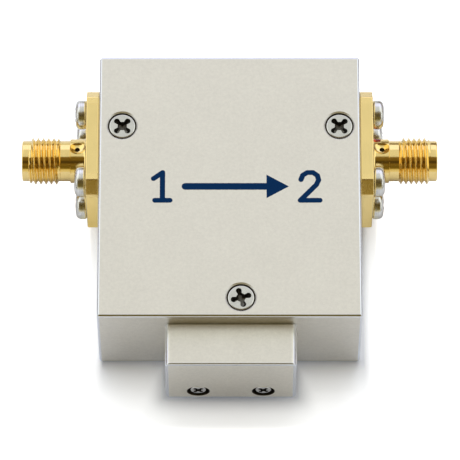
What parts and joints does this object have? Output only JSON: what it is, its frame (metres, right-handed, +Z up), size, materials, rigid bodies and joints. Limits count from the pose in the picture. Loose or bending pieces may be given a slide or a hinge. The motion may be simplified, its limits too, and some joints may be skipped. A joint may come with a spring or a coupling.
{
  "type": "ferrite isolator",
  "caption": "Coaxial ferrite isolator: flat nickel-plated box with a gold-plated threaded jack on each side, countersunk cover screws and a load housing on its front.",
  "frame": {"origin": "centre of the box's underside, on the surface it rests on", "axes": "+X from the left jack to the right jack; +Y towards the back, away from the load housing; +Z up"},
  "size_m": [0.056, 0.0443, 0.015],
  "materials": {
    "nickel_plating": "satin, bead-blasted under a nickel plating",
    "machined_steel": "milled and nickel-flashed",
    "stainless_steel": "polished",
    "gold_plating": "bright gold plating on turned brass",
    "silver_plating": "silver-plated sheet",
    "copper": "bare copper",
    "fluoropolymer": "white, turned",
    "ceramic": "white, fired and ground",
    "ferrite": "dark, ground and polished",
    "magnet": "sintered and ground",
    "silicone_rubber": "matt"
  },
  "bodies": {
    "root": {"centre_conductor": "silver_plating", "compression_pad": "silicone_rubber", "cover_screw_front": "stainless_steel", "cover_screw_left": "stainless_steel", "cover_screw_right": "stainless_steel", "housing": "nickel_plating", "inner_frame": "machined_steel", "left_centre_contact": "gold_plating", "left_connector_body": "gold_plating", "left_flange_screw_lower_back": "stainless_steel", "left_flange_screw_lower_front": "stainless_steel", "left_flange_screw_upper_back": "stainless_steel", "left_flange_screw_upper_front": "stainless_steel", "left_insulator": "fluoropolymer", "load_carrier": "copper", "load_chip": "ceramic", "load_housing": "nickel_plating", "load_lead": "silver_plating", "load_lid": "ceramic", "load_screw_left": "stainless_steel", "load_screw_right": "stainless_steel", "lower_dielectric_ring": "ceramic", "lower_ferrite": "ferrite", "lower_ground_plate": "silver_plating", "lower_magnet": "magnet", "lower_pole_piece": "machined_steel", "right_centre_contact": "gold_plating", "right_connector_body": "gold_plating", "right_flange_screw_lower_back": "stainless_steel", "right_flange_screw_lower_front": "stainless_steel", "right_flange_screw_upper_back": "stainless_steel", "right_flange_screw_upper_front": "stainless_steel", "right_insulator": "fluoropolymer", "upper_dielectric_ring": "ceramic", "upper_ferrite": "ferrite", "upper_ground_plate": "silver_plating", "upper_magnet": "magnet", "upper_pole_piece": "machined_steel"}
  },
  "joints": []
}
